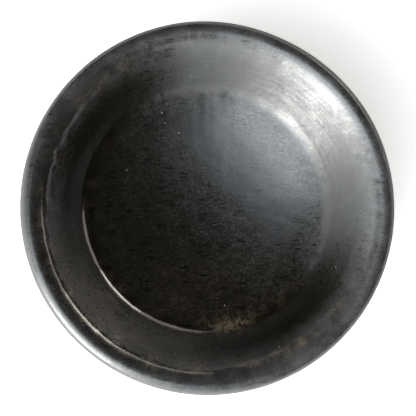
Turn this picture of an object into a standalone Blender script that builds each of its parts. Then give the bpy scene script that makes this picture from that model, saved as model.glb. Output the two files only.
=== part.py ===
"""Turned wooden offering bowl with a housed foot ring, foot pegs and a centre plug.

Metres, +Z up. The origin is on the table, on the bowl's turning axis.
"""

import math

import bmesh
import bpy

# Bowl inside
BOWL_DEPTH = 0.025          # rim crest down to the middle of the floor
WALL_REACH = 0.0285         # floor's edge out to the widest point of the rim
FLOOR_DISH = 0.006          # rise of the floor from its middle to its edge
FILLET_RADIUS = 0.012       # hollow corner between floor and wall

# Rim
RIM_RADIUS = 0.075          # widest point of the bowl
LIP_RADIUS = 0.0085         # round from the wall up to the crest
ROLL_WIDTH = 0.0035         # crest out to the widest point
ROLL_DROP = 0.004           # crest down to the widest point
ROLL_TURN = math.radians(110)   # how far the outer round turns, from straight up

# Bowl outside
FLOOR_THICKNESS = 0.009     # wood under the middle of the floor
WALL_THICKNESS = 0.010      # wood between the fillet and the haunch
HAUNCH_TILT = math.radians(40)      # slope of the outside where it rounds under
UNDERSIDE_TILT = math.radians(16)   # slope of the outside where it meets the underside
SWEEP_FULLNESS = 0.6        # how far the outside's curves fill the corner between two slopes
UNDERSIDE_INSET = 0.0022    # underside's edge, in from the floor's edge

# Foot ring
FOOT_HEIGHT = 0.008         # table up to the underside
FOOT_SETBACK = 0.006        # ring's neck, in from the underside's edge
FOOT_WIDTH = 0.009          # wood of the ring, across
FOOT_FLARE = 0.0015         # ring's base, out from its neck
FOOT_BAND = 0.0025          # upright band at the ring's base
FOOT_EDGE = 0.0008          # rounded bottom edges
HOUSING_DEPTH = 0.003       # how far the ring is let into the underside

# Pegs and plug
PEG_COUNT = 3
PEG_DIAMETER = 0.004
PEG_GRIP = 0.005            # length of a peg in the bowl
PEG_ANGLE = math.radians(90)    # direction of the first peg
PLUG_DIAMETER = 0.008
PLUG_LENGTH = 0.005
END_CHAMFER = 0.0004        # broken edge on pegs and plug

# Fits
JOINT_GAP = 0.0003          # between pieces that touch

# Facets: round a turned piece, round a dowel, and along each stretch of an outline
TURN_STEPS = 80
DOWEL_STEPS = 24
FLOOR_STEPS = 6
FILLET_STEPS = 5
LIP_STEPS = 7
ROLL_STEPS = 8
BELLY_STEPS = 7
HAUNCH_STEPS = 4
COVE_STEPS = 6
EDGE_STEPS = 4
SHARP_ANGLE = math.radians(35)
MERGE_DISTANCE = 1e-6

# Levels and radii that the pieces share
FLOOR_RADIUS = RIM_RADIUS - WALL_REACH
UNDERSIDE_RADIUS = FLOOR_RADIUS - UNDERSIDE_INSET
FOOT_RADIUS = UNDERSIDE_RADIUS - FOOT_SETBACK
FOOT_BORE = FOOT_RADIUS - FOOT_WIDTH
HOUSING_TOP = FOOT_HEIGHT + HOUSING_DEPTH
FLOOR_HEIGHT = FOOT_HEIGHT + FLOOR_THICKNESS
RIM_HEIGHT = FLOOR_HEIGHT + BOWL_DEPTH
CREST_RADIUS = RIM_RADIUS - ROLL_WIDTH
PEG_RADIUS = PEG_DIAMETER / 2
PEG_CIRCLE = FOOT_RADIUS - FOOT_WIDTH / 2
PLUG_RADIUS = PLUG_DIAMETER / 2


def clear_scene():
    for item in list(bpy.data.objects):
        bpy.data.objects.remove(item, do_unlink=True)


def stained_wood(name, colour, roughness):
    """One wood finish: its linear colour and how dull it is."""
    finish = bpy.data.materials.new(name)
    finish.use_nodes = True
    shader = finish.node_tree.nodes["Principled BSDF"]
    shader.inputs["Base Color"].default_value = (*colour, 1.0)
    shader.inputs["Roughness"].default_value = roughness
    shader.inputs["Metallic"].default_value = 0.0
    finish.diffuse_color = (*colour, 1.0)
    return finish


def arc(centre, radii, first, last, steps):
    """Points on an ellipse in the (radius, height) plane; angles run clockwise from straight up."""
    points = []
    for step in range(steps + 1):
        angle = first + (last - first) * step / steps
        points.append((centre[0] + radii[0] * math.sin(angle), centre[1] + radii[1] * math.cos(angle)))
    return points


def heading_down(tilt):
    """Unit step towards the axis and down a slope of this tilt."""
    return (-math.cos(tilt), -math.sin(tilt))


def sweep_between(start, start_way, end, end_way, steps):
    """Points of a smooth curve that leaves start along start_way and reaches end along end_way.

    Its two handles reach towards the corner where both ways cross, so it bends one way only.
    """
    chord = (end[0] - start[0], end[1] - start[1])
    turn = start_way[0] * end_way[1] - start_way[1] * end_way[0]
    to_corner = (chord[0] * end_way[1] - chord[1] * end_way[0]) / turn
    from_corner = (chord[1] * start_way[0] - chord[0] * start_way[1]) / turn
    handle_a = [start[i] + SWEEP_FULLNESS * to_corner * start_way[i] for i in (0, 1)]
    handle_b = [end[i] - SWEEP_FULLNESS * from_corner * end_way[i] for i in (0, 1)]
    points = []
    for step in range(steps + 1):
        t = step / steps
        weights = ((1 - t) ** 3, 3 * t * (1 - t) ** 2, 3 * t * t * (1 - t), t ** 3)
        corners = (start, handle_a, handle_b, end)
        points.append(tuple(sum(w * c[i] for w, c in zip(weights, corners)) for i in (0, 1)))
    return points


def inside_outline():
    """Floor, fillet, wall and lip, from the axis out to the crest.

    The wall is the straight line that touches both the fillet and the lip. Also returns the
    fillet's centre, from which the outside takes its thickness.
    """
    floor_bend = (FLOOR_RADIUS ** 2 + FLOOR_DISH ** 2) / (2 * FLOOR_DISH)
    edge_tilt = math.asin(FLOOR_RADIUS / floor_bend)
    fillet = (
        FLOOR_RADIUS - FILLET_RADIUS * math.sin(edge_tilt),
        FLOOR_HEIGHT + FLOOR_DISH + FILLET_RADIUS * math.cos(edge_tilt),
    )
    lip = (CREST_RADIUS, RIM_HEIGHT - LIP_RADIUS)
    across = (lip[0] - fillet[0], lip[1] - fillet[1])
    wall_tilt = math.atan2(across[1], across[0])
    wall_tilt += math.asin((FILLET_RADIUS + LIP_RADIUS) / math.hypot(*across))

    down = math.pi
    floor_centre = (0.0, FLOOR_HEIGHT + floor_bend)
    outline = arc(floor_centre, (floor_bend, floor_bend), down, down - edge_tilt, FLOOR_STEPS)
    corner = (FILLET_RADIUS, FILLET_RADIUS)
    outline += arc(fillet, corner, down - edge_tilt, down - wall_tilt, FILLET_STEPS)[1:]
    outline += arc(lip, (LIP_RADIUS, LIP_RADIUS), -wall_tilt, 0.0, LIP_STEPS)
    return outline, fillet


def outside_outline(fillet):
    """Outer roll of the rim, belly and haunch, from past the crest down to the underside's edge."""
    roll_centre = (CREST_RADIUS, RIM_HEIGHT - ROLL_DROP)
    roll = arc(roll_centre, (ROLL_WIDTH, ROLL_DROP), 0.0, ROLL_TURN, ROLL_STEPS)
    roll_way = (ROLL_WIDTH * math.cos(ROLL_TURN), -ROLL_DROP * math.sin(ROLL_TURN))
    roll_speed = math.hypot(*roll_way)
    roll_way = (roll_way[0] / roll_speed, roll_way[1] / roll_speed)

    skin = FILLET_RADIUS + WALL_THICKNESS
    haunch = (
        fillet[0] + skin * math.sin(HAUNCH_TILT),
        fillet[1] - skin * math.cos(HAUNCH_TILT),
    )
    haunch_way = heading_down(HAUNCH_TILT)
    edge = (UNDERSIDE_RADIUS, FOOT_HEIGHT)
    edge_way = heading_down(UNDERSIDE_TILT)
    outline = roll[1:]
    outline += sweep_between(roll[-1], roll_way, haunch, haunch_way, BELLY_STEPS)[1:]
    outline += sweep_between(haunch, haunch_way, edge, edge_way, HAUNCH_STEPS)[1:]
    return outline


def underside_outline():
    """Housing for the foot ring and blind hole for the plug, from the housing in to the axis."""
    housing_outer = FOOT_RADIUS + JOINT_GAP
    housing_inner = FOOT_BORE - JOINT_GAP
    hole_radius = PLUG_RADIUS + JOINT_GAP
    hole_top = FOOT_HEIGHT + PLUG_LENGTH + JOINT_GAP
    return [
        (housing_outer, FOOT_HEIGHT),
        (housing_outer, HOUSING_TOP),
        (housing_inner, HOUSING_TOP),
        (housing_inner, FOOT_HEIGHT),
        (hole_radius, FOOT_HEIGHT),
        (hole_radius, hole_top),
        (0.0, hole_top),
    ]


def foot_outline():
    """Closed section of the ring: let-in neck, coved outside, upright band, round edges and bore."""
    top = HOUSING_TOP - JOINT_GAP
    cove_top = FOOT_HEIGHT - JOINT_GAP
    base = FOOT_RADIUS + FOOT_FLARE
    quarter = math.pi / 2
    cove_size = (FOOT_FLARE, cove_top - FOOT_BAND)
    edge_size = (FOOT_EDGE, FOOT_EDGE)
    outline = [(FOOT_BORE, top), (FOOT_RADIUS, top)]
    outline += arc((base, cove_top), cove_size, -quarter, -2 * quarter, COVE_STEPS)
    outline += arc((base - FOOT_EDGE, FOOT_EDGE), edge_size, quarter, 2 * quarter, EDGE_STEPS)
    outline += arc((FOOT_BORE + FOOT_EDGE, FOOT_EDGE), edge_size, 2 * quarter, 3 * quarter, EDGE_STEPS)
    return outline


def add_object(name, bm, finish):
    """Turn a finished bmesh into a named, smooth-shaded object."""
    bmesh.ops.recalc_face_normals(bm, faces=bm.faces)
    mesh = bpy.data.meshes.new(name)
    bm.to_mesh(mesh)
    bm.free()
    mesh.shade_smooth()
    mesh.set_sharp_from_angle(angle=SHARP_ANGLE)
    if finish:
        mesh.materials.append(finish)
    item = bpy.data.objects.new(name, mesh)
    bpy.context.collection.objects.link(item)
    return item


def turned(name, outline, steps, finish, ring=False):
    """Spin an outline of (radius, height) points about +Z; a ring's outline closes on itself."""
    bm = bmesh.new()
    points = [bm.verts.new((radius, 0.0, height)) for radius, height in outline]
    edges = [bm.edges.new(pair) for pair in zip(points, points[1:])]
    if ring:
        edges.append(bm.edges.new((points[-1], points[0])))
    bmesh.ops.spin(
        bm,
        geom=points + edges,
        cent=(0.0, 0.0, 0.0),
        axis=(0.0, 0.0, 1.0),
        angle=2 * math.pi,
        steps=steps,
        use_merge=True,
    )
    bmesh.ops.remove_doubles(bm, verts=bm.verts, dist=MERGE_DISTANCE)
    return add_object(name, bm, finish)


def dowel(name, radius, bottom, top, finish):
    """A round peg on the axis, with chamfered ends."""
    outline = [
        (0.0, top),
        (radius - END_CHAMFER, top),
        (radius, top - END_CHAMFER),
        (radius, bottom + END_CHAMFER),
        (radius - END_CHAMFER, bottom),
        (0.0, bottom),
    ]
    return turned(name, outline, DOWEL_STEPS, finish)


def peg_places():
    """Centres of the pegs, evenly spaced along the middle of the foot ring."""
    turns = [PEG_ANGLE + 2 * math.pi * i / PEG_COUNT for i in range(PEG_COUNT)]
    return [(PEG_CIRCLE * math.cos(turn), PEG_CIRCLE * math.sin(turn)) for turn in turns]


def peg_drill():
    """The holes for all pegs as one cutter: through the ring and blind into the bowl."""
    bottom = -FOOT_HEIGHT
    top = HOUSING_TOP + PEG_GRIP + JOINT_GAP
    bm = bmesh.new()
    for x, y in peg_places():
        made = bmesh.ops.create_cone(
            bm,
            cap_ends=True,
            segments=DOWEL_STEPS,
            radius1=PEG_RADIUS + JOINT_GAP,
            radius2=PEG_RADIUS + JOINT_GAP,
            depth=top - bottom,
        )
        bmesh.ops.translate(bm, verts=made["verts"], vec=(x, y, (top + bottom) / 2))
    drill = add_object("peg_drill", bm, None)
    drill.hide_render = True
    drill.display_type = "WIRE"
    return drill


def cut(item, cutter):
    """Take the cutter's shape out of an object."""
    modifier = item.modifiers.new("peg_holes", "BOOLEAN")
    modifier.operation = "DIFFERENCE"
    modifier.solver = "EXACT"
    modifier.object = cutter


def build_bowl(drill):
    finish = stained_wood("burnished_black_wood", (0.0100, 0.0095, 0.0080), 0.40)
    inside, fillet = inside_outline()
    outline = inside + outside_outline(fillet) + underside_outline()
    cut(turned("bowl_body", outline, TURN_STEPS, finish), drill)


def build_foot(drill):
    finish = stained_wood("black_stained_foot_wood", (0.0125, 0.0110, 0.0090), 0.50)
    cut(turned("foot_ring", foot_outline(), TURN_STEPS, finish, ring=True), drill)


def build_pegs():
    """Pegs end just above the ring's base, so that the ring alone meets the table."""
    finish = stained_wood("dark_peg_wood", (0.0300, 0.0200, 0.0130), 0.55)
    top = HOUSING_TOP + PEG_GRIP
    for number, (x, y) in enumerate(peg_places(), start=1):
        peg = dowel(f"foot_peg_{number}", PEG_RADIUS, JOINT_GAP, top, finish)
        peg.location = (x, y, 0.0)


def build_plug():
    """Fills the hole that the lathe's screw leaves in the underside, and ends flush with it."""
    finish = stained_wood("dark_plug_wood", (0.0260, 0.0180, 0.0120), 0.55)
    dowel("centre_plug", PLUG_RADIUS, FOOT_HEIGHT, FOOT_HEIGHT + PLUG_LENGTH, finish)


def main():
    clear_scene()
    drill = peg_drill()
    build_bowl(drill)
    build_foot(drill)
    build_pegs()
    build_plug()


main()
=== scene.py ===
"""Looks of a turned, blackened offering bowl with its foot ring, pegs and plug.

Every piece is a surface of revolution worked out with numpy in the frame's metres, dressed in
procedural wood, and stands for the solid of the same piece. A paper sweep, soft boxes and a
camera over the bowl finish the scene. Azimuths are degrees from +X towards +Y: most lamps stand at
225, the lower left of the picture, and light the wall at 45, its upper right.
"""

import logging
import math
from collections.abc import Callable
from dataclasses import dataclass
from enum import Enum
from functools import partial

import bpy
import numpy as np
from mathutils import Matrix, Vector


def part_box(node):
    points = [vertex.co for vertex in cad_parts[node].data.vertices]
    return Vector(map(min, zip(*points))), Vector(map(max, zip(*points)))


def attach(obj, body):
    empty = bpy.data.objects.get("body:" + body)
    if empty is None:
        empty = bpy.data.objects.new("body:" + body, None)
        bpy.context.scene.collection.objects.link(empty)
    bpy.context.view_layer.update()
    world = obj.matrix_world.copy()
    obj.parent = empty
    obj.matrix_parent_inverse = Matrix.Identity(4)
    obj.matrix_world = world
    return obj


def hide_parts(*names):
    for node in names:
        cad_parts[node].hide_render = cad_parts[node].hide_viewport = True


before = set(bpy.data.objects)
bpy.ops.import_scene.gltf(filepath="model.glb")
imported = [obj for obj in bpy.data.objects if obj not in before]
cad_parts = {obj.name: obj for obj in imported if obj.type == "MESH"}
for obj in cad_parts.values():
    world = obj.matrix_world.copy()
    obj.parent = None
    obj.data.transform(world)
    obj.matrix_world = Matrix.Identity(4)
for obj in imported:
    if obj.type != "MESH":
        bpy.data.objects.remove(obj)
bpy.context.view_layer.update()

LOG = logging.getLogger("offering_bowl")
BODY = "root"
PEG_NODES = ("foot_peg_1", "foot_peg_2", "foot_peg_3")
MM = 1000.0
FIT_GAP = 0.0003  # metres between pieces that fit into one another
SHARP_EDGE = math.radians(32)  # folds over this angle stay sharp
QUARTER = math.pi / 2
LUMP_SINK = 2.0  # takes lumps of -1.5 to 1.5 below 0, so that none stands out of the solid
BIT_STEPS = 48  # places round a drill bit
Pair = tuple[float, float]
Socket = bpy.types.NodeSocket
Put = Callable[..., Socket]  # add_node, bound to the nodes of one material


def linear(hex_colour: str) -> tuple[float, float, float, float]:
    """Turn an sRGB hex colour into linear light.

    Args:
        hex_colour: six hex digits, red, green and blue.

    Returns:
        Linear red, green and blue, and an alpha of 1.
    """
    share = np.array([int(hex_colour[i:i + 2], 16) for i in (0, 2, 4)]) / 255
    light = np.where(share <= 0.04045, share / 12.92, ((share + 0.055) / 1.055) ** 2.4)
    return (*(float(value) for value in light), 1.0)


def add_node(
    tree: bpy.types.NodeTree, kind: str, inputs: dict | None = None, give: int | str = 0, **settings: object
) -> Socket:
    """Add one shader node, with its settings, values and links.

    Args:
        tree: the node tree of a material.
        kind: the node type's name without the leading ShaderNode.
        inputs: input name or number to a value, or to the output that feeds it.
        give: name or number of the output to return.
        settings: attributes of the node, such as its operation.

    Returns:
        One output of the new node, or None where it has none.
    """
    node = tree.nodes.new("ShaderNode" + kind)
    for name, value in settings.items():
        setattr(node, name, value)
    for key, value in (inputs or {}).items():
        if isinstance(value, Socket):
            tree.links.new(value, node.inputs[key])
        else:
            node.inputs[key].default_value = value
    return node.outputs[give] if node.outputs else None


def between(span: Pair) -> dict[str, float]:
    """Inputs of a Map Range node that comes up from 0 to 1 over a span."""
    return {"From Min": span[0], "From Max": span[1]}


def arc(centre: Pair, radii: Pair, first: float, last: float, steps: int) -> np.ndarray:
    """Points of an ellipse's arc in the (radius, height) plane.

    The point at an angle is the centre plus the first radius times the angle's sine outwards and
    the second times its cosine upwards, so angles run clockwise from straight up.

    Args:
        centre: radius and height of the centre.
        radii: half width and half height of the ellipse.
        first: angle of the first point.
        last: angle of the last point.
        steps: number of stretches between the points.

    Returns:
        Rows of radius and height.
    """
    angle = np.linspace(first, last, steps + 1)
    return np.stack([centre[0] + radii[0] * np.sin(angle), centre[1] + radii[1] * np.cos(angle)], axis=1)


def line(start: Pair, end: Pair, steps: int) -> np.ndarray:
    """Evenly spaced points from start to end.

    Args:
        start: radius and height of the first point.
        end: radius and height of the last point.
        steps: number of stretches between the points.

    Returns:
        Rows of radius and height.
    """
    return np.linspace(start, end, steps + 1)


def heading_down(tilt: float) -> np.ndarray:
    """Unit step towards the axis and down a slope of this tilt."""
    return np.array([-math.cos(tilt), -math.sin(tilt)])


def sweep_between(
    start: np.ndarray, start_way: np.ndarray, end: np.ndarray, end_way: np.ndarray,
    fullness: float, steps: int,
) -> np.ndarray:
    """Points of a cubic curve that leaves start along start_way and reaches end along end_way.

    Both handles reach a share of the way to the corner where the two ways cross, so the curve
    bends one way only.

    Args:
        start: first point.
        start_way: unit direction at the first point.
        end: last point.
        end_way: unit direction at the last point.
        fullness: share of the way to the corner.
        steps: number of stretches between the points.

    Returns:
        Rows of radius and height.
    """
    chord = end - start
    turn = start_way[0] * end_way[1] - start_way[1] * end_way[0]
    to_corner = (chord[0] * end_way[1] - chord[1] * end_way[0]) / turn
    from_corner = (chord[1] * start_way[0] - chord[0] * start_way[1]) / turn
    near = start + fullness * to_corner * start_way
    far = end - fullness * from_corner * end_way
    t = np.linspace(0, 1, steps + 1)[:, None]
    return (1 - t) ** 3 * start + 3 * t * (1 - t) ** 2 * near + 3 * t * t * (1 - t) * far + t ** 3 * end


@dataclass(frozen=True)
class Ripples:
    """Soft lumps over space: the sum of many sine waves that run in random directions."""

    wavelength: float  # the middle one; each wave has 0.6 to 1.6 times this
    count: int
    seed: int  # of the random directions and phases

    def over(self, grid: np.ndarray) -> np.ndarray:
        """Height of the lumps at the points of a grid.

        Args:
            grid: array of rows, turns and x, y, z.

        Returns:
            Array of rows by turns, about -1.5 to 1.5.
        """
        draw = np.random.default_rng(self.seed)
        ways = draw.normal(size=(self.count, 3))
        ways /= np.linalg.norm(ways, axis=1, keepdims=True)
        ways *= 2 * math.pi / (self.wavelength * draw.uniform(0.6, 1.6, size=(self.count, 1)))
        phases = draw.uniform(0, 2 * math.pi, size=self.count)
        waves = np.sin(grid.reshape(-1, 3) @ ways.T + phases)
        return (waves.sum(axis=1) / math.sqrt(self.count)).reshape(grid.shape[:2])


@dataclass(frozen=True)
class Side:
    """A side of the bowl that a mark favours.

    The weight is half of 1 plus the cosine of the angle from the middle, to the power of the
    sharpness, times the strength: full at the middle and 0 opposite it.
    """

    middle: float  # azimuth
    sharpness: float  # 1 spreads the side over half the bowl, 100 over some 20 degrees
    strength: float

    def over(self, turn: np.ndarray) -> np.ndarray:
        """Weight at each angle round the axis."""
        return self.strength * ((1 + np.cos(turn - math.radians(self.middle))) / 2) ** self.sharpness


@dataclass(frozen=True)
class Band:
    """A ring of the bowl's inside on which a mark lies, fading to both sides as a bell curve."""

    offset: float  # outwards from the edge that the band belongs to, to its middle
    width: float  # from the middle to where the mark has faded to a third

    def over(self, radius: np.ndarray, edge: float) -> np.ndarray:
        """Weight at each radius: e to minus the square of the distance from the middle in widths."""
        return np.exp(-((radius - edge - self.offset) / self.width) ** 2)


@dataclass
class Turning:
    """A surface of revolution: an outline of (radius, height) points carried round +Z."""

    outline: np.ndarray  # from axis to axis, or closed on itself where it is a ring's
    steps: int  # number of places round the axis
    ring: bool = False

    def rows(self) -> np.ndarray:
        """The outline's points that lie off the axis."""
        return self.outline if self.ring else self.outline[1:-1]

    def turns(self) -> np.ndarray:
        """Angles round the axis, from +X towards +Y."""
        return np.linspace(0, 2 * math.pi, self.steps, endpoint=False)

    def travel(self) -> np.ndarray:
        """Distance along the outline to each of its rows, in metres."""
        hops = np.linalg.norm(np.diff(self.outline, axis=0), axis=1)
        way = np.concatenate([[0.0], np.cumsum(hops)])
        return way if self.ring else way[1:-1]

    def facing(self) -> np.ndarray:
        """Unit outward direction at each row, square to the outline's own direction.

        Returns:
            Rows of outward and upward share.
        """
        if self.ring:
            ahead = np.roll(self.outline, -1, axis=0) - np.roll(self.outline, 1, axis=0)
        else:
            ahead = self.outline[2:] - self.outline[:-2]
        square = np.stack([-ahead[:, 1], ahead[:, 0]], axis=1)
        return square / np.maximum(np.linalg.norm(square, axis=1, keepdims=True), 1e-12)

    def grid(self, lift: np.ndarray | float = 0.0) -> np.ndarray:
        """Points on the grid of outline rows by turns.

        A point is its row's radius times the turn's cosine and sine, at its row's height, moved
        by the lift along the row's outward direction.

        Args:
            lift: metres to move each point by, as an array of rows by turns.

        Returns:
            Array of rows, turns and x, y, z.
        """
        turn = self.turns()
        out, up = self.facing()[:, :1], self.facing()[:, 1:]
        radius = self.rows()[:, :1] + lift * out
        height = self.rows()[:, 1:] + lift * up
        return np.stack([radius * np.cos(turn), radius * np.sin(turn), height + 0 * turn], axis=2)

    def faces(self) -> list[list[int]]:
        """Quads between neighbouring rows and turns, and fans of triangles at the poles.

        Returns:
            Lists of point numbers, in an order that faces outwards.
        """
        count = len(self.rows())
        here = np.arange(count * self.steps).reshape(count, self.steps)
        below = np.roll(here, -1, axis=0)
        if not self.ring:
            here, below = here[:-1], below[:-1]
        quads = np.stack([here, below, np.roll(below, -1, axis=1), np.roll(here, -1, axis=1)], axis=-1)
        made = quads.reshape(-1, 4).tolist()
        if not self.ring:
            first = np.arange(self.steps)
            last = first + (count - 1) * self.steps
            poles = np.full(self.steps, count * self.steps)
            made += np.stack([poles, first, np.roll(first, -1)], axis=1).tolist()
            made += np.stack([last, poles + 1, np.roll(last, -1)], axis=1).tolist()
        return made

    def piece(
        self, name: str, grid: np.ndarray, marks: dict[str, np.ndarray], place: Pair = (0.0, 0.0)
    ) -> bpy.types.Object:
        """Put the grid into a new object, smooth but for its sharp edges.

        Args:
            name: name of the piece.
            grid: array of rows, turns and x, y, z.
            marks: attribute name to an array of rows, or of rows by turns.
            place: x and y of the turning axis.

        Returns:
            The linked object, at the origin, with its place in its mesh.
        """
        points = grid.reshape(-1, 3)
        if not self.ring:
            ends = [[0.0, 0.0, grid[0, :, 2].mean()], [0.0, 0.0, grid[-1, :, 2].mean()]]
            points = np.concatenate([points, ends])
        mesh = bpy.data.meshes.new(name)
        mesh.from_pydata((points + np.array([*place, 0.0])).tolist(), [], self.faces())
        mesh.update()
        mesh.shade_smooth()
        mesh.set_sharp_from_angle(angle=SHARP_EDGE)
        marks = {"travel_mm": self.travel() * MM, **marks}
        for label, values in marks.items():
            shaped = values[:, None] if values.ndim == 1 else values
            spread = np.broadcast_to(shaped, grid.shape[:2]).reshape(-1)
            spread = np.concatenate([spread, np.full(len(points) - spread.size, spread[0])])
            layer = mesh.attributes.new(label, "FLOAT", "POINT")
            layer.data.foreach_set("value", spread.astype(np.float32))
        item = bpy.data.objects.new(name, mesh)
        bpy.context.scene.collection.objects.link(item)
        return item


def drill(item: bpy.types.Object, nodes: tuple[str, ...]) -> None:
    """Cut the holes of round pegs out of a piece, a fit's gap wider and deeper than each peg.

    Args:
        item: the piece to cut.
        nodes: names of the pegs' solids.
    """
    for node in nodes:
        low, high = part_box(node)
        radius = (high.x - low.x) / 2 + FIT_GAP
        top, foot = high.z + FIT_GAP, low.z - 2 * FIT_GAP
        ends = [line((0.0, top), (radius, top), steps=2), line((radius, foot), (0.0, foot), steps=2)]
        shape = Turning(np.concatenate(ends), BIT_STEPS)
        bit = shape.piece("bit", shape.grid(), {}, ((low.x + high.x) / 2, (low.y + high.y) / 2))
        cut = item.modifiers.new("drill", "BOOLEAN")
        cut.operation = "DIFFERENCE"
        cut.solver = "EXACT"
        cut.object = bit
        shaped = item.evaluated_get(bpy.context.evaluated_depsgraph_get())
        old, item_mesh = item.data, bpy.data.meshes.new_from_object(shaped)
        item.modifiers.clear()
        item.data = item_mesh
        bpy.data.meshes.remove(old)
        bpy.data.objects.remove(bit)
    item.data.set_sharp_from_angle(angle=SHARP_EDGE)


class GrainWay(Enum):
    """Which way the wood's fibres run: how much longer the grain is along x, y and z."""

    ACROSS_BOWL = (6.0, 1.0, 1.0)
    UP_PEG = (1.0, 1.0, 6.0)


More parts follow.
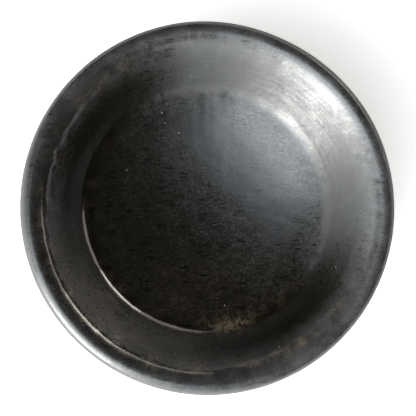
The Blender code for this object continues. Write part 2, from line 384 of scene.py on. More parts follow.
@dataclass(frozen=True)
class BlackenedWood:
    """Open-pored hardwood, turned, blackened and burnished.

    To the eye: near-black with a brown undertone, a soft grey sheen where light strikes it, short
    black pores along the grain, lathe and sanding lines round the wall, cloudy patches, a few
    pale scratches and dust specks, and brown bare wood on rubbed edges, which on the bowl's lip
    also stands for painted glints.

    Colours are sRGB. A span is the pair of noise values between which a pattern comes up from
    nothing to full.
    """

    name: str  # of the material
    dark: str
    brown: str  # of the streaks
    grey: str  # where hands have greyed the rim; on the bowl also painted sheen on rim and wall
    # bare wood; on the bowl's lip also painted glints
    bare: str
    roughness: float  # middle of the sheen
    ior: float  # burnished stain reflects more than bare wood does
    grain: GrainWay
    pore_black: str = "020202"
    speck_grey: str = "8d8a83"
    scuff: float = 0.19  # roughness that scuffing adds
    cloud_dull: float = 0.03  # roughness that the clouds add or take
    filled_pore: float = 0.16  # roughness of the polish that fills the pores
    pore_pitch_mm: float = 1.3  # across the grain
    pore_share: float = 0.38  # half width of a pore, in pitches
    pore_span: Pair = (0.50, 0.85)
    speck_pitch_mm: float = 4.0  # of cells, few of which hold a speck of dust
    speck_share: float = 0.07  # half width of a speck, in pitches
    speck_odds: float = 0.945  # random number over which a cell holds a speck
    scratch_slant: float = math.radians(-35)
    scratch_pull: tuple[float, float, float] = (0.06, 2.2, 0.3)
    scratch_span: Pair = (0.70, 0.76)
    cloud_mm: float = 8.0
    cloud_span: Pair = (0.3, 0.7)
    blotch_span: Pair = (0.15, 0.85)  # of the clouds in which the grey of hands and the painted sheen lie
    bare_span: Pair = (0.80, 1.25)  # of the noise in which worn wood is bare
    tooth_mm: float = 1.0  # sanded unevenness; a real one is half as coarse, too fine to show
    line_pitch_mm: float = 1.1  # between lathe lines
    line_change: float = 3.0  # how much the lines change on their way round
    fibre_mm: float = 0.7  # fibre bundles; single fibres are far too fine to show
    wave_mm: float = 3.2  # shallow hollows that hand sanding leaves

    def pores(self, put: Put, fibre: Socket) -> Socket:
        """Short vessels: the middles of some cells of a cell pattern stretched along the grain.

        Args:
            put: adds one node.
            fibre: position in millimetres, shortened along the grain.

        Returns:
            Mask that is 1 in a pore.
        """
        near = put("TexVoronoi", {"Vector": fibre, "Scale": 1 / self.pore_pitch_mm}, "Distance")
        edge = between((self.pore_share / 2, self.pore_share))
        vessel = put("MapRange", {"Value": near, **edge, "To Min": 1.0, "To Max": 0.0})
        chance = put("SeparateColor", {"Color": near.node.outputs["Color"]}, "Red")
        kept = put("MapRange", {"Value": chance, **between(self.pore_span)})
        return put("Math", {0: vessel, 1: kept}, operation="MULTIPLY")

    def lathe_lines(self, put: Put, place: Socket) -> Socket:
        """Turning and sanding lines: noise long round the axis and short along the outline.

        Args:
            put: adds one node.
            place: position in millimetres.

        Returns:
            Noise of 0 to 1.
        """
        level = put("VectorMath", {0: place, 1: (1.0, 1.0, 0.0)}, operation="MULTIPLY")
        round_way = put("VectorMath", {0: level}, operation="NORMALIZE")
        slow = put("VectorMath", {0: round_way, "Scale": self.line_change}, operation="SCALE")
        travel = put("Attribute", give="Fac", attribute_name="travel_mm")
        step = put("Math", {0: travel, 1: self.line_pitch_mm}, operation="DIVIDE")
        upward = put("CombineXYZ", {"Z": step})
        spiral = put("VectorMath", {0: slow, 1: upward}, operation="ADD")
        return put("TexNoise", {"Vector": spiral, "Scale": 1.0, "Detail": 3.0, "Roughness": 0.7})

    def scratches(self, put: Put, place: Socket) -> Socket:
        """A few straight slanting scratches: the peaks of noise drawn out along one direction.

        Args:
            put: adds one node.
            place: position in millimetres.

        Returns:
            Mask that is 1 in a scratch.
        """
        slant = put("Mapping", {"Vector": place, "Rotation": (0.0, 0.0, self.scratch_slant)})
        drawn = put("Mapping", {"Vector": slant, "Scale": self.scratch_pull})
        noise = put("TexNoise", {"Vector": drawn, "Scale": 1.0, "Detail": 2.0})
        return put("MapRange", {"Value": noise, **between(self.scratch_span)})

    def dust(self, put: Put, place: Socket) -> Socket:
        """Sparse pale specks: the very middles of a few cells.

        Args:
            put: adds one node.
            place: position in millimetres.

        Returns:
            Mask that is 1 on a speck.
        """
        near = put("TexVoronoi", {"Vector": place, "Scale": 1 / self.speck_pitch_mm}, "Distance")
        speck = put("Math", {0: near, 1: self.speck_share}, operation="LESS_THAN")
        chance = put("SeparateColor", {"Color": near.node.outputs["Color"]}, "Green")
        rare = put("Math", {0: chance, 1: self.speck_odds}, operation="GREATER_THAN")
        return put("Math", {0: speck, 1: rare}, operation="MULTIPLY")

    def patterns(self, put: Put) -> dict[str, Socket]:
        """The marks that a piece carries as attributes, and the patterns of the wood.

        The marks are 0 where a piece has none. Wear is bare wood, on the bowl's lip partly painted
        glints, and handled is wood greyed by hands, on the bowl's rim and wall partly painted sheen.
        Scuffed is 1 on rough wood, 0 on the plain sheen and below 0 on polished wood. Dry wood
        never took the polish.

        Args:
            put: adds one node.

        Returns:
            Name of each mark and pattern to its output.
        """
        space = put("TexCoord", give="Object")
        place = put("VectorMath", {0: space, "Scale": MM}, operation="SCALE")
        shorter = tuple(1.0 / share for share in self.grain.value)
        fibre = put("Mapping", {"Vector": place, "Scale": shorter})
        found = {
            mark: put("Attribute", give="Fac", attribute_name=mark)
            for mark in ("wear_and_glint", "handled_and_sheen", "scuffed", "dry")
        }
        soft = {"Detail": 5.0, "Roughness": 0.62}
        noises = (
            ("streak", fibre, self.cloud_mm / 2, soft),
            ("cloud", place, self.cloud_mm, soft),
            ("tooth", place, self.tooth_mm, {"Detail": 3.0}),
            ("waves", place, self.wave_mm, {"Detail": 2.0}),
            ("fibres", fibre, self.fibre_mm, {"Detail": 3.0}),
        )
        for pattern, where, size_mm, detail in noises:
            found[pattern] = put("TexNoise", {"Vector": where, "Scale": 1 / size_mm, **detail})
        found["pores"] = self.pores(put, fibre)
        found["lines"] = self.lathe_lines(put, place)
        found["scratches"] = self.scratches(put, place)
        found["dust"] = self.dust(put, place)
        return found

    def colour(self, put: Put, found: dict[str, Socket]) -> Socket:
        """Black to brown in streaks, grey of hands and painted sheen, bare wood and painted glints,
        with pores and dust on top.

        Args:
            put: adds one node.
            found: the marks and patterns.

        Returns:
            The base colour.
        """
        blotch = put("MapRange", {"Value": found["cloud"], **between(self.blotch_span)})
        greyed = put("Math", {0: found["handled_and_sheen"], 1: blotch}, operation="MULTIPLY")
        patchy = put("Math", {0: found["tooth"], 1: found["waves"]}, operation="ADD")
        patchy = put("MapRange", {"Value": patchy, **between(self.bare_span)})
        worn = put("Math", {0: found["wear_and_glint"], 1: patchy}, operation="MULTIPLY")
        # Hands have filled most of the rim's pores
        still_open = put("Math", {0: found["handled_and_sheen"], 1: -0.7, 2: 1.0}, operation="MULTIPLY_ADD")
        open_pores = put("Math", {0: found["pores"], 1: still_open}, operation="MULTIPLY", use_clamp=True)
        coats = (
            (found["streak"], self.brown),
            # grey of hands, partly painted sheen on the bowl's rim and wall
            (greyed, self.grey),
            # bare wood, partly painted glints along the bowl's lip
            (worn, self.bare),
            (open_pores, self.pore_black),
            (found["dust"], self.speck_grey),
        )
        mixed = linear(self.dark)
        for share, coat in coats:
            mixed = put("Mix", {0: share, 6: mixed, 7: linear(coat)}, 2, data_type="RGBA")
        return mixed

    def dullness(self, put: Put, found: dict[str, Socket]) -> Socket:
        """Clouds, tooth, lines and scuffs round the middle roughness.

        Polish fills the pores, which makes them smooth and so blacker than the wood between them.

        Args:
            put: adds one node.
            found: the marks and patterns.

        Returns:
            The roughness.
        """
        scuffed, cloud = found["scuffed"], found["cloud"]
        patch = put("Math", {0: scuffed, 1: cloud}, operation="MULTIPLY")
        ringed = put("Math", {0: scuffed, 1: 0.30, 2: 0.06}, operation="MULTIPLY_ADD")
        fine = put("MapRange", {
            "Value": cloud, **between(self.cloud_span),
            "To Min": self.roughness - self.cloud_dull, "To Max": self.roughness + self.cloud_dull,
        })
        # What patch and lines add to scuffed wood on average, 0.30, is taken off its own share
        shares = (
            (found["tooth"], 0.27),
            (found["fibres"], 0.12),
            (patch, 0.30),
            (found["lines"], ringed),
            (scuffed, self.scuff - 0.30),
            (found["scratches"], 0.10),
            (found["dry"], 0.55),
        )
        for pattern, share in shares:
            fine = put("Math", {0: pattern, 1: share, 2: fine}, operation="MULTIPLY_ADD")
        # Half of what tooth, fibres and lines can add to plain wood, so that the middle stays
        fine = put("Math", {0: fine, 1: 0.225}, operation="SUBTRACT")
        filled = put("Math", {0: 1.0, 1: scuffed}, operation="SUBTRACT", use_clamp=True)
        filled = put("Math", {0: found["pores"], 1: filled}, operation="MULTIPLY")
        return put("Mix", {0: filled, 2: fine, 3: self.filled_pore}, 0, data_type="FLOAT")

    def relief(self, put: Put, found: dict[str, Socket]) -> Socket:
        """Lines, tooth, fibres and hollows, deeper on scuffed wood, and shallow scratches.

        Args:
            put: adds one node.
            found: the marks and patterns.

        Returns:
            The bent normal.
        """
        rough_wood = put("Math", {0: found["scuffed"], 1: 0.0}, operation="MAXIMUM")
        line_mm = put("Math", {0: rough_wood, 1: 0.075, 2: 0.006}, operation="MULTIPLY_ADD")
        wave_mm = put("Math", {0: rough_wood, 1: 0.07, 2: 0.01}, operation="MULTIPLY_ADD")
        wave_mm = put("Math", {0: found["handled_and_sheen"], 1: 0.03, 2: wave_mm}, operation="MULTIPLY_ADD")
        heights_mm = (("tooth", 0.010), ("fibres", 0.009), ("scratches", -0.006), ("waves", wave_mm))
        height = put("Math", {0: found["lines"], 1: line_mm}, operation="MULTIPLY")
        for pattern, most in heights_mm:
            height = put("Math", {0: found[pattern], 1: most, 2: height}, operation="MULTIPLY_ADD")
        return put("Bump", {"Height": height, "Strength": 1.0, "Distance": 1 / MM}, "Normal")

    def material(self) -> bpy.types.Material:
        """Make the material.

        Returns:
            The finished node material.
        """
        made = bpy.data.materials.new(self.name)
        made.use_nodes = True
        made.node_tree.nodes.clear()
        put = partial(add_node, made.node_tree)
        found = self.patterns(put)
        shader = put("BsdfPrincipled", {
            "Base Color": self.colour(put, found), "Roughness": self.dullness(put, found),
            "Normal": self.relief(put, found), "IOR": self.ior,
        })
        put("OutputMaterial", {"Surface": shader})
        return made


BOWL_WOOD = BlackenedWood(
    "burnished_black_wood", "0d0c08", "1a160e", "474646", "857560", 0.22, 2.0, GrainWay.ACROSS_BOWL
)
FOOT_WOOD = BlackenedWood(
    "black_stained_foot_wood", "191613", "251e17", "4a4640", "7a5a38", 0.40, 1.6, GrainWay.ACROSS_BOWL
)
PEG_WOOD = BlackenedWood(
    "dark_peg_wood", "2f261f", "3d2f25", "4a4640", "7a5a38", 0.55, 1.5, GrainWay.UP_PEG
)
PLUG_WOOD = BlackenedWood(
    "dark_plug_wood", "2c241e", "382b22", "4a4640", "7a5a38", 0.55, 1.5, GrainWay.UP_PEG
)


@dataclass
class FootRing:
    """The turned ring under the bowl: let-in neck, cove, upright band and round edges."""

    width: float = 0.009  # from the bore to the neck
    flare: float = 0.0015  # from the neck out to the band
    band: float = 0.0025  # height of the upright band
    edge: float = 0.0008
    lumps: Ripples = Ripples(0.009, 24, 11)
    lump_height: float = 0.00004
    free_from: float = 0.0006  # heights between which the lumps are full
    free_to: float = 0.006
    worn_to: float = 0.003  # height up to which the foot is worn
    steps: int = 360

    def __post_init__(self) -> None:
        """Read the ring's reach from the frame."""
        self.reach = float(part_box("foot_ring")[1].x)
        self.top = float(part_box("foot_ring")[1].z)
        self.shoulder = float(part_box("bowl_body")[0].z) - FIT_GAP
        self.neck = self.reach - self.flare
        self.bore = self.neck - self.width

    def outline(self) -> np.ndarray:
        """Closed section, from the bore's top edge out, down the outside and back up the bore.

        Returns:
            Rows of radius and height.
        """
        edge = (self.edge, self.edge)
        cove = (self.flare, self.shoulder - self.band)
        return np.concatenate([
            line((self.bore, self.top), (self.neck, self.top), steps=6)[:-1],
            line((self.neck, self.top), (self.neck, self.shoulder), steps=3)[:-1],
            arc((self.reach, self.shoulder), cove, -QUARTER, -2 * QUARTER, steps=16),
            arc((self.reach - self.edge, self.edge), edge, QUARTER, 2 * QUARTER, steps=8),
            line((self.reach - self.edge, 0.0), (self.bore + self.edge, 0.0), steps=8)[1:-1],
            arc((self.bore + self.edge, self.edge), edge, 2 * QUARTER, 3 * QUARTER, steps=8),
            line((self.bore, self.edge), (self.bore, self.top), steps=8)[1:-1],
        ])

    def build(self) -> bpy.types.Object:
        """Make the ring, hand finished below its housing and drilled for the pegs.

        Returns:
            The ring's object.
        """
        shape = Turning(self.outline(), self.steps, ring=True)
        height = shape.rows()[:, 1]
        free_heights = [0.0, self.free_from, self.free_to, self.shoulder]
        free = np.interp(height, free_heights, [0.0, 1.0, 1.0, 0.0])
        lumps = self.lumps.over(shape.grid())
        grid = shape.grid(self.lump_height * (lumps - LUMP_SINK) * free[:, None])
        low = np.interp(height, [0.0, self.edge, self.worn_to], [1.0, 0.8, 0.0])
        wear_and_glint = low[:, None] * np.clip(0.25 + 0.4 * lumps, 0.0, 1.0)
        item = shape.piece("turned_foot_ring", grid, {"wear_and_glint": wear_and_glint, "handled_and_sheen": 0.6 * low, "scuffed": low})
        drill(item, PEG_NODES)
        return item


@dataclass
class Dowel:
    """A round wooden peg or plug with chamfered ends, the size of its solid."""

    name: str
    node: str
    chamfer: float = 0.0004
    steps: int = 64

    def build(self) -> bpy.types.Object:
        """Make the dowel that fills the box of its solid.

        Returns:
            The dowel's object.
        """
        low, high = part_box(self.node)
        radius, cut = (high.x - low.x) / 2, self.chamfer
        outline = np.concatenate([
            line((0.0, high.z), (radius - cut, high.z), steps=6),
            line((radius, high.z - cut), (radius, low.z + cut), steps=10),
            line((radius - cut, low.z), (0.0, low.z), steps=6),
        ])
        shape = Turning(outline, self.steps)
        place = ((low.x + high.x) / 2, (low.y + high.y) / 2)
        return shape.piece(self.name, shape.grid(), {}, place)


@dataclass
class Bowl:
    """The turned bowl: floor, fillet, wall, lip, outer roll, belly and underside."""

    wall_reach: float = 0.0285  # from the floor's edge out to the rim
    bowl_depth: float = 0.025  # from the rim's crest down to the floor's middle
    floor_dish: float = 0.006  # rise of the floor from its middle to its edge
    fillet: float = 0.012
    lip: float = 0.0085
    roll_width: float = 0.0035  # from the crest out to the rim
    roll_drop: float = 0.004
    roll_turn: float = math.radians(110)
    wall_thickness: float = 0.010
    haunch_tilt: float = math.radians(40)
    underside_tilt: float = math.radians(16)
    fullness: float = 0.6  # how far the outside bulges towards its corners
    underside_inset: float = 0.0022  # from the floor's edge in to the underside's
    housing_depth: float = 0.003
    hidden_rows: int = 8  # last rows of the outside, which keep the solid's shape
    steps: int = 576

    def __post_init__(self) -> None:
        """Read the rim and the underside from the frame."""
        low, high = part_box("bowl_body")
        self.rim_radius = float(high.x)
        self.rim_height = float(high.z)
        self.underside = float(low.z)
        self.floor_radius = self.rim_radius - self.wall_reach
        self.floor_height = self.rim_height - self.bowl_depth
        self.crest = self.rim_radius - self.roll_width

    def inside(self) -> tuple[np.ndarray, Pair]:
        """Floor, fillet, wall and lip, from the axis out to the crest.

        The floor is a shallow sphere, the fillet and the lip are arcs, and the wall is the
        straight line that touches both. From 0.8 of its way up, the wall's rows lie closer, because
        a fine ridge runs there.

        Returns:
            Rows of radius and height, and the fillet's centre.
        """
        bend = (self.floor_radius ** 2 + self.floor_dish ** 2) / (2 * self.floor_dish)
        edge_tilt = math.asin(self.floor_radius / bend)
        corner = (
            self.floor_radius - self.fillet * math.sin(edge_tilt),
            self.floor_height + self.floor_dish + self.fillet * math.cos(edge_tilt),
        )
        lip = (self.crest, self.rim_height - self.lip)
        across = (lip[0] - corner[0], lip[1] - corner[1])
        wall_tilt = math.atan2(across[1], across[0])
        wall_tilt += math.asin((self.fillet + self.lip) / math.hypot(*across))
        down = math.pi
        floor = arc((0.0, self.floor_height + bend), (bend, bend), down, down - edge_tilt, steps=36)
        bottom = arc(corner, (self.fillet, self.fillet), down - edge_tilt, down - wall_tilt, steps=12)
        top = arc(lip, (self.lip, self.lip), -wall_tilt, 0.0, steps=22)
        wide, fine, change = 9, 12, 0.8
        share = np.concatenate([np.linspace(0, change, wide), np.linspace(change, 1, fine)[1:]])
        wall = bottom[-1] + share[:, None] * (top[0] - bottom[-1])
        return np.concatenate([floor, bottom[1:], wall[1:-1], top]), corner

    def outside(self, corner: Pair) -> np.ndarray:
        """Outer roll, belly and haunch, from past the crest to the underside's edge.

        Args:
            corner: centre of the fillet, from which the wall's thickness is measured.

        Returns:
            Rows of radius and height.
        """
        drop, width, turn = self.roll_drop, self.roll_width, self.roll_turn
        roll = arc((self.crest, self.rim_height - drop), (width, drop), 0.0, turn, steps=22)
        roll_way = np.array([width * math.cos(turn), -drop * math.sin(turn)])
        roll_way /= np.linalg.norm(roll_way)
        skin = self.fillet + self.wall_thickness
        tilt = self.haunch_tilt
        haunch = np.array([corner[0] + skin * math.sin(tilt), corner[1] - skin * math.cos(tilt)])
        edge = np.array([self.floor_radius - self.underside_inset, self.underside])
        way = heading_down(tilt)
        last_way = heading_down(self.underside_tilt)
        belly = sweep_between(roll[-1], roll_way, haunch, way, self.fullness, steps=22)
        under = sweep_between(haunch, way, edge, last_way, self.fullness, steps=10)
        return np.concatenate([roll[1:], belly[1:], under[1:]])

    def below(self, foot: FootRing) -> np.ndarray:
        """Housing for the foot ring and blind hole for the plug, in to the axis.

        Args:
            foot: the ring that the housing holds.

        Returns:
            Rows of radius and height.
        """
        low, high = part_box("centre_plug")
        hole = (high.x - low.x) / 2 + FIT_GAP
        hole_top = high.z + FIT_GAP
        outer, inner = foot.neck + FIT_GAP, foot.bore - FIT_GAP
        roof = self.underside + self.housing_depth
        return np.concatenate([
            line((outer, self.underside), (outer, roof), steps=2),
            line((inner, roof), (inner, self.underside), steps=2),
            line((inner, self.underside), (hole, self.underside), steps=12)[1:],
            line((hole, hole_top), (0.0, hole_top), steps=2),
        ])

    def build(self, foot: FootRing) -> bpy.types.Object:
        """Make the bowl, with soft lumps, dents and one flattened side, and drill it for the pegs.

        Args:
            foot: the ring that the underside's housing holds.

        Returns:
            The bowl's object.
        """
        inside, corner = self.inside()
        outside = self.outside(corner)
        shape = Turning(np.concatenate([inside, outside, self.below(foot)]), self.steps)
        use = BowlUse(self, shape, len(inside), len(inside) + len(outside) - self.hidden_rows)
        grid = shape.grid(use.lift())
        grid[:, :, :2] *= use.pressed()[:, :, None]
        marks = {"wear_and_glint": use.wear_and_glint(), "handled_and_sheen": use.handled_and_sheen(), "scuffed": use.scuffed(), "dry": use.dry()}
        item = shape.piece("turned_bowl", grid, marks)
        drill(item, PEG_NODES)
        return item


@dataclass
class BowlUse:
    """What tools, hands and years have left on the bowl, with painted sheen and glints among it,
    as arrays of its rows by its turns.
    """

    bowl: Bowl
    shape: Turning
    inside_rows: int  # from the floor's middle to the crest
    shown_rows: int  # down to where the foot ring hides the bowl

    # Rings: the fillet lies beside the floor's edge, the others lie inside the crest
    fillet_band: Band = Band(0.0028, 0.0026)
    lip_band: Band = Band(-0.0065, 0.0028)
    ridge_band: Band = Band(-0.0068, 0.0009)  # left by the lathe where the wall meets the lip
    worn_glint_band: Band = Band(-0.0058, 0.0018)  # bare wood beside the ridge, partly a painted glint there
    rubbed_band: Band = Band(-0.0060, 0.0013)  # polish beside the ridge

    # Unevenness: wide and narrow lumps, the ridge and small dents, in metres
    lumps: Ripples = Ripples(0.018, 28, 3)
    lump_height: float = 0.000015
    grit: Ripples = Ripples(0.0065, 40, 5)
    grit_height: float = 0.000008
    lip_grit: float = 0.000018  # added on the lip
    fillet_grit: float = 0.000012
    ridge_height: float = 0.00011
    dents: int = 70
    dent_seed: int = 29
    dent_widths: Pair = (0.0007, 0.0016)
    dent_depths: Pair = (0.00002, 0.00009)
    pressed_side: Side = Side(62, 24, 0.009)  # by this share of the radius
    pressed_radii: Pair = (0.04, 0.07)  # where the pressing begins, and where it is full

    # Bare wood, and painted glints: the tan on the lip, faint all round and strongest on the lamps'
    # side, partly paints glints along the lip
    rubbing: Ripples = Ripples(0.008, 32, 7)
    worn_and_glint_side: Side = Side(235, 2.5, 0.85)
    stain_side: Side = Side(281, 160, 0.9)  # the patch on the fillet
    floor_side: Side = Side(272, 5, 0.06)

    # Sheen: sides that have kept their polish, and sides of the fillet that are duller
    smooth_walls: tuple[Side, ...] = (Side(153, 8, 1.6), Side(304, 12, 1.3), Side(225, 5, 0.4))
    smooth_fillets: tuple[Side, ...] = (Side(45, 5, 0.1), Side(225, 3, 1.0))
    dull_fillets: tuple[Side, ...] = (Side(340, 9, 0.6), Side(110, 9, 0.6))
    smooth_lip: Side = Side(225, 3, 0.4)
    rubbed_side: Side = Side(225, 3, 0.75)
    smooth_roll: Side = Side(225, 1.6, 0.95)
    outside_scuff: float = 0.5
    scuff_limits: Pair = (-0.6, 1.2)

    # Grey of hands, and painted sheen: more grey on the rim away from the lamps, less on it at the
    # lamps' side as painted shade, and grey on the wall there as painted light from the far wall
    painted_shade_rim: Side = Side(225, 2.5, 0.8)
    painted_sheen_rim: Side = Side(310, 2, 0.8)
    grey_and_sheen_wall: Side = Side(225, 4, 0.2)

    def __post_init__(self) -> None:
        """Work out where each part of the bowl lies: columns with a weight for each row."""
        bowl = self.bowl
        rows = np.arange(len(self.shape.rows()))[:, None]
        self.radius, self.height = self.shape.rows()[:, :1], self.shape.rows()[:, 1:]
        self.turn = self.shape.turns()
        self.within, self.shown = rows < self.inside_rows, rows < self.shown_rows
        self.fillet = self.within * self.fillet_band.over(self.radius, bowl.floor_radius)
        self.lip = self.within * self.lip_band.over(self.radius, bowl.crest)
        self.rim = self.shown * np.interp(bowl.rim_height - self.height, [0.002, 0.008], [1.0, 0.0])
        beyond = self.radius - bowl.floor_radius
        wall_rings = [-0.0105, 0.0, 0.006, 0.0135, 0.0195, bowl.crest - bowl.floor_radius]
        floor_rings = [-0.0345, -0.0165, 0.0, 0.0035]
        self.wall = self.within * np.interp(beyond, wall_rings, [0.0, 0.25, 0.85, 1.0, 0.45, 0.3])
        self.floor = self.within * np.interp(beyond, floor_rings, [0.0, 1.0, 1.0, 0.0])

    def sides(self, favoured: tuple[Side, ...]) -> np.ndarray:
        """Sum of the weights of some sides, at each turn."""
        return sum(side.over(self.turn) for side in favoured)

    def dented(self, points: np.ndarray) -> np.ndarray:
        """Small dents on the lip and the fillet, each a round hollow that fades with distance.

        Args:
            points: x, y and z rows of the whole surface.

        Returns:
            Depth in metres at each point, 0 or less.
        """
        draw = np.random.default_rng(self.dent_seed)
        chance = np.repeat((self.fillet + self.lip + 1e-4)[:, 0], self.shape.steps)
        chosen = draw.choice(len(points), size=self.dents, p=chance / chance.sum(), replace=False)
        middles = points[chosen]
        widths = draw.uniform(*self.dent_widths, size=self.dents)
        depths = draw.uniform(*self.dent_depths, size=self.dents)
        gap = (points ** 2).sum(axis=1)[:, None] - 2 * points @ middles.T + (middles ** 2).sum(axis=1)
        return -np.exp(-gap / widths ** 2) @ depths

    def lift(self) -> np.ndarray:
        """Lumps, dents and the ridge between wall and lip, which comes and goes with the lumps.

        Returns:
            Metres that each point stands off the turned surface.
        """
        plain = self.shape.grid()
        lumps = self.lumps.over(plain)
        grit = self.grit.over(plain)
        uneven = self.grit_height + (self.lip_grit * self.lip + self.fillet_grit * self.fillet)
        dents = self.dented(plain.reshape(-1, 3)).reshape(lumps.shape)
        lift = self.lump_height * (lumps - LUMP_SINK) + uneven * (grit - LUMP_SINK) + dents
        ridge = self.within * self.ridge_band.over(self.radius, self.bowl.crest)
        return lift * self.shown + self.ridge_height * ridge * np.clip(0.3 + 0.35 * lumps, 0.3, 1.2)

    def pressed(self) -> np.ndarray:
        """Share of its radius that each point keeps where the rim is pressed in."""
        depth = np.interp(self.radius, self.pressed_radii, [0.0, 1.0])
        return np.where(self.shown, 1 - self.pressed_side.over(self.turn) * depth, 1.0)

    def wear_and_glint(self) -> np.ndarray:
        """Bare wood and painted glints: rubbed edges, strongest on the lamps' side and along the lip
        partly painted glints, the patch on the fillet and the rubbed floor.

        Returns:
            Share of bare wood, with the painted glints, 0 to 1.
        """
        rubbed = np.clip(0.1 + 0.55 * self.rubbing.over(self.shape.grid()), 0.0, 1.0)
        worn_glint_line = self.within * self.worn_glint_band.over(self.radius, self.bowl.crest)
        edges = 0.3 * self.lip + worn_glint_line + 0.3 * self.fillet
        # Painted glints: faint bare tan all round the lip and more on the lamps' side
        worn = edges * (0.15 + self.worn_and_glint_side.over(self.turn)) * rubbed
        stain = self.fillet * self.stain_side.over(self.turn)
        floor = self.floor * self.floor_side.over(self.turn)
        return np.clip(worn + stain + floor, 0.0, 1.0)

    def scuffed(self) -> np.ndarray:
        """Scuffs on wall, fillet and outside, and polish where hands and cloths keep rubbing.

        Returns:
            1 on scuffed wood, 0 on the plain sheen, below 0 where it is polished.
        """
        wall = self.wall * (1 - self.sides(self.smooth_walls))
        wall = wall * (1 - self.smooth_lip.over(self.turn) * self.lip)
        corner = self.fillet * (self.sides(self.dull_fillets) - self.sides(self.smooth_fillets))
        rubbed = self.within * self.rubbed_band.over(self.radius, self.bowl.crest)
        polish = rubbed * self.rubbed_side.over(self.turn)
        return np.clip(wall + corner - polish + self.outside_scuff * ~self.within, *self.scuff_limits)

    def dry(self) -> np.ndarray:
        """Share of unpolished wood: the outside from just below the crest, but for one side."""
        outer = ~self.within * np.interp(self.bowl.rim_height - self.height, [0.0003, 0.002], [0.0, 1.0])
        return outer * (1 - self.smooth_roll.over(self.turn))

    def handled_and_sheen(self) -> np.ndarray:
        """Share of wood greyed by hands on the rim, with painted sheen and shade.

        More grey on the rim away from the lamps is painted sheen, less grey on it at the lamps' side
        is painted shade, and grey on the wall at the lamps' side is painted light from the far wall.
        """
        rim = self.rim * (1.0 - self.painted_shade_rim.over(self.turn) + self.painted_sheen_rim.over(self.turn))
        return rim + self.wall * self.grey_and_sheen_wall.over(self.turn)


def stand_in(
    item: bpy.types.Object, node: str, finish: BlackenedWood, material: bpy.types.Material
) -> None:
    """Dress a piece and let it stand for a solid of the frame.

    Args:
        item: the finished piece.
        node: name of the solid.
        finish: the wood, whose name goes into the log.
        material: the wood's material.
    """
    item.data.materials.clear()
    item.data.materials.append(material)
    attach(item, BODY)
    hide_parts(node)
    LOG.info("%s stands for %s in %s", item.name, node, finish.name)


@dataclass(frozen=True)
class SoftBox:
    """One studio lamp: a lit rectangle that faces the bowl."""

    name: str
    azimuth: float
    elevation: float  # degrees above the horizon
    size: Pair  # width and height in metres
    power: float  # watts
    tint: str  # sRGB
    distance: float = 0.9

    def place(self, target: Vector) -> None:
        """Hang the lamp over the target and turn it towards it.

        Args:
            target: point that the lamp faces.
        """
        turn, rise = math.radians(self.azimuth), math.radians(self.elevation)
        way = Vector((math.cos(rise) * math.cos(turn), math.cos(rise) * math.sin(turn), math.sin(rise)))
        lamp = bpy.data.lights.new(self.name, "AREA")
        lamp.shape = "RECTANGLE"
        lamp.size, lamp.size_y = self.size
        lamp.energy = self.power
        lamp.color = linear(self.tint)[:3]
        item = bpy.data.objects.new(self.name, lamp)
        item.location = target + way * self.distance
        item.rotation_euler = way.to_track_quat("Z", "Y").to_euler()
        item.visible_camera = False
        bpy.context.scene.collection.objects.link(item)


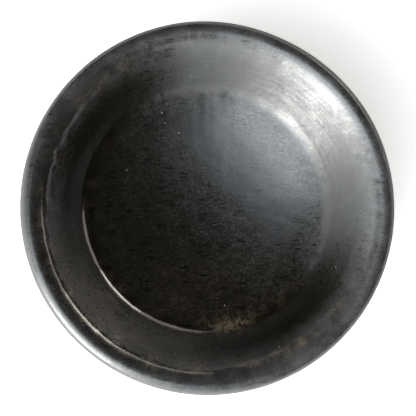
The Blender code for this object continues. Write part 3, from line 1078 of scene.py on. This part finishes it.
@dataclass
class Studio:
    """Pale paper sweep, soft lamps, dim room and the camera over the bowl.

    Lamps of one height and growing width lie over one another, so that their edges are soft in the
    burnished wood. The tall and top ones show in floor and fillet, the middle and cream ones in the
    lip, the low ones in the far wall, and the warm ones, which stand opposite, in the near wall.
    """

    floor_reach: float = 2.6
    sweep_radius: float = 0.26
    sweep_steps: int = 96
    paper: str = "f4f3f1"
    paper_glow: float = 0.65
    room: str = "0a0a0b"
    lens_distance: float = 0.42
    near_clip: float = 0.01
    lean: float = math.radians(5.5)  # off straight above
    lean_azimuth: float = math.radians(225)
    aim: Pair = (-0.00076, -0.00107)  # point in the rim's plane that the camera looks at
    rim_share: float = 0.9105  # of the picture's width
    sensor_mm: float = 36.0
    lamps: tuple[SoftBox, ...] = (
        SoftBox("tall_box", 225, 49, (0.42, 1.11), 5.5, "edf6fb"),
        SoftBox("tall_wide_box", 225, 47, (0.74, 1.07), 2.0, "edf6fb"),
        SoftBox("mid_box", 225, 36, (0.42, 0.50), 2.3, "f6f8f6"),
        SoftBox("mid_wide_box", 225, 40, (2.80, 0.64), 8.4, "f0f6fa"),
        SoftBox("low_box", 225, 12, (0.50, 0.34), 6.0, "f6f8f4"),
        SoftBox("low_wide_box", 225, 12, (1.25, 0.34), 4.5, "f2f7f6"),
        SoftBox("low_far_box", 225, 12, (3.00, 0.34), 6.8, "ecf5fa"),
        SoftBox("top_box", 225, 84, (0.45, 0.17), 0.20, "e6f1ff"),
        SoftBox("cream_box", 225, 34, (0.50, 0.06), 0.8, "ffdfa8"),
        SoftBox("warm_box", 45, 21, (0.34, 0.09), 0.7, "fff6ea"),
        SoftBox("warm_wide_box", 45, 21, (1.40, 0.16), 1.0, "fff6ea"),
    )

    def build_sweep(self) -> None:
        """Floor that curves up into a low pale wall all round, as one turned sheet."""
        reach, bend = self.floor_reach, self.sweep_radius
        shape = Turning(np.concatenate([
            line((0.0, 0.0), (reach, 0.0), steps=24),
            arc((reach, bend), (bend, bend), 2 * QUARTER, QUARTER, steps=12)[1:],
            [[0.0, bend]],
        ]), self.sweep_steps)
        points = np.concatenate([shape.grid().reshape(-1, 3), [[0.0, 0.0, 0.0]]])
        faces = [face for face in shape.faces() if max(face) < len(points)]
        mesh = bpy.data.meshes.new("paper_sweep")
        mesh.from_pydata(points.tolist(), [], faces)
        mesh.update()
        mesh.shade_smooth()
        mesh.materials.append(self.paper_material())
        item = bpy.data.objects.new("paper_sweep", mesh)
        bpy.context.scene.collection.objects.link(item)

    def paper_material(self) -> bpy.types.Material:
        """Matt white paper that glows a little to the eye, and still shows the shadow.

        Returns:
            The paper's material.
        """
        made = bpy.data.materials.new("white_paper")
        made.use_nodes = True
        made.node_tree.nodes.clear()
        put = partial(add_node, made.node_tree)
        matt = put("BsdfDiffuse", {"Color": linear(self.paper)})
        eye = put("LightPath", give="Is Camera Ray")
        rays = eye.node.outputs
        seen = put("Math", {0: eye, 1: rays["Is Glossy Ray"]}, operation="MAXIMUM")
        seen = put("Math", {0: seen, 1: rays["Is Transmission Ray"]}, operation="MAXIMUM")
        strength = put("Math", {0: seen, 1: self.paper_glow}, operation="MULTIPLY")
        glow = put("Emission", {"Color": linear(self.paper), "Strength": strength})
        both = put("AddShader", {0: matt, 1: glow})
        put("OutputMaterial", {"Surface": both})
        return made

    def build_room(self) -> None:
        """Dim, even light of the room, and the plain view transform."""
        scene = bpy.context.scene
        scene.view_settings.view_transform = "Standard"
        world = bpy.data.worlds.new("dim_room")
        world.use_nodes = True
        world.node_tree.nodes["Background"].inputs["Color"].default_value = linear(self.room)
        scene.world = world

    def build_camera(self, bowl: Bowl) -> None:
        """Camera almost straight above the rim, leaning to the lower left, +Y up in the picture.

        Args:
            bowl: the bowl, whose rim takes up the photo's share of the frame.
        """
        lens = bpy.data.cameras.new("overhead_camera")
        lens.sensor_width = self.sensor_mm
        lens.lens = self.sensor_mm / 2 * self.lens_distance / (bowl.rim_radius / self.rim_share)
        lens.clip_start = self.near_clip
        item = bpy.data.objects.new("overhead_camera", lens)
        aside = math.sin(self.lean)
        turn = self.lean_azimuth
        way = Vector((aside * math.cos(turn), aside * math.sin(turn), math.cos(self.lean)))
        right = Vector((0.0, 1.0, 0.0)).cross(way).normalized()
        item.location = Vector((*self.aim, bowl.rim_height)) + way * self.lens_distance
        item.rotation_euler = Matrix((right, way.cross(right), way)).transposed().to_euler()
        bpy.context.scene.collection.objects.link(item)
        bpy.context.scene.camera = item

    def build(self, bowl: Bowl) -> None:
        """Set up sweep, room, lamps and camera round the bowl.

        Args:
            bowl: the bowl that the camera and lamps face.
        """
        self.build_sweep()
        self.build_room()
        for lamp in self.lamps:
            lamp.place(Vector((0.0, 0.0, bowl.rim_height)))
        self.build_camera(bowl)


def main() -> None:
    """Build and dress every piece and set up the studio."""
    logging.basicConfig(level=logging.INFO)
    foot = FootRing()
    bowl = Bowl()
    woods = {finish: finish.material() for finish in (BOWL_WOOD, FOOT_WOOD, PEG_WOOD, PLUG_WOOD)}
    stand_in(bowl.build(foot), "bowl_body", BOWL_WOOD, woods[BOWL_WOOD])
    stand_in(foot.build(), "foot_ring", FOOT_WOOD, woods[FOOT_WOOD])
    for node in PEG_NODES:
        stand_in(Dowel(f"turned_{node}", node).build(), node, PEG_WOOD, woods[PEG_WOOD])
    plug = Dowel("turned_centre_plug", "centre_plug")
    stand_in(plug.build(), plug.node, PLUG_WOOD, woods[PLUG_WOOD])
    Studio().build(bowl)


if __name__ == "__main__":
    main()
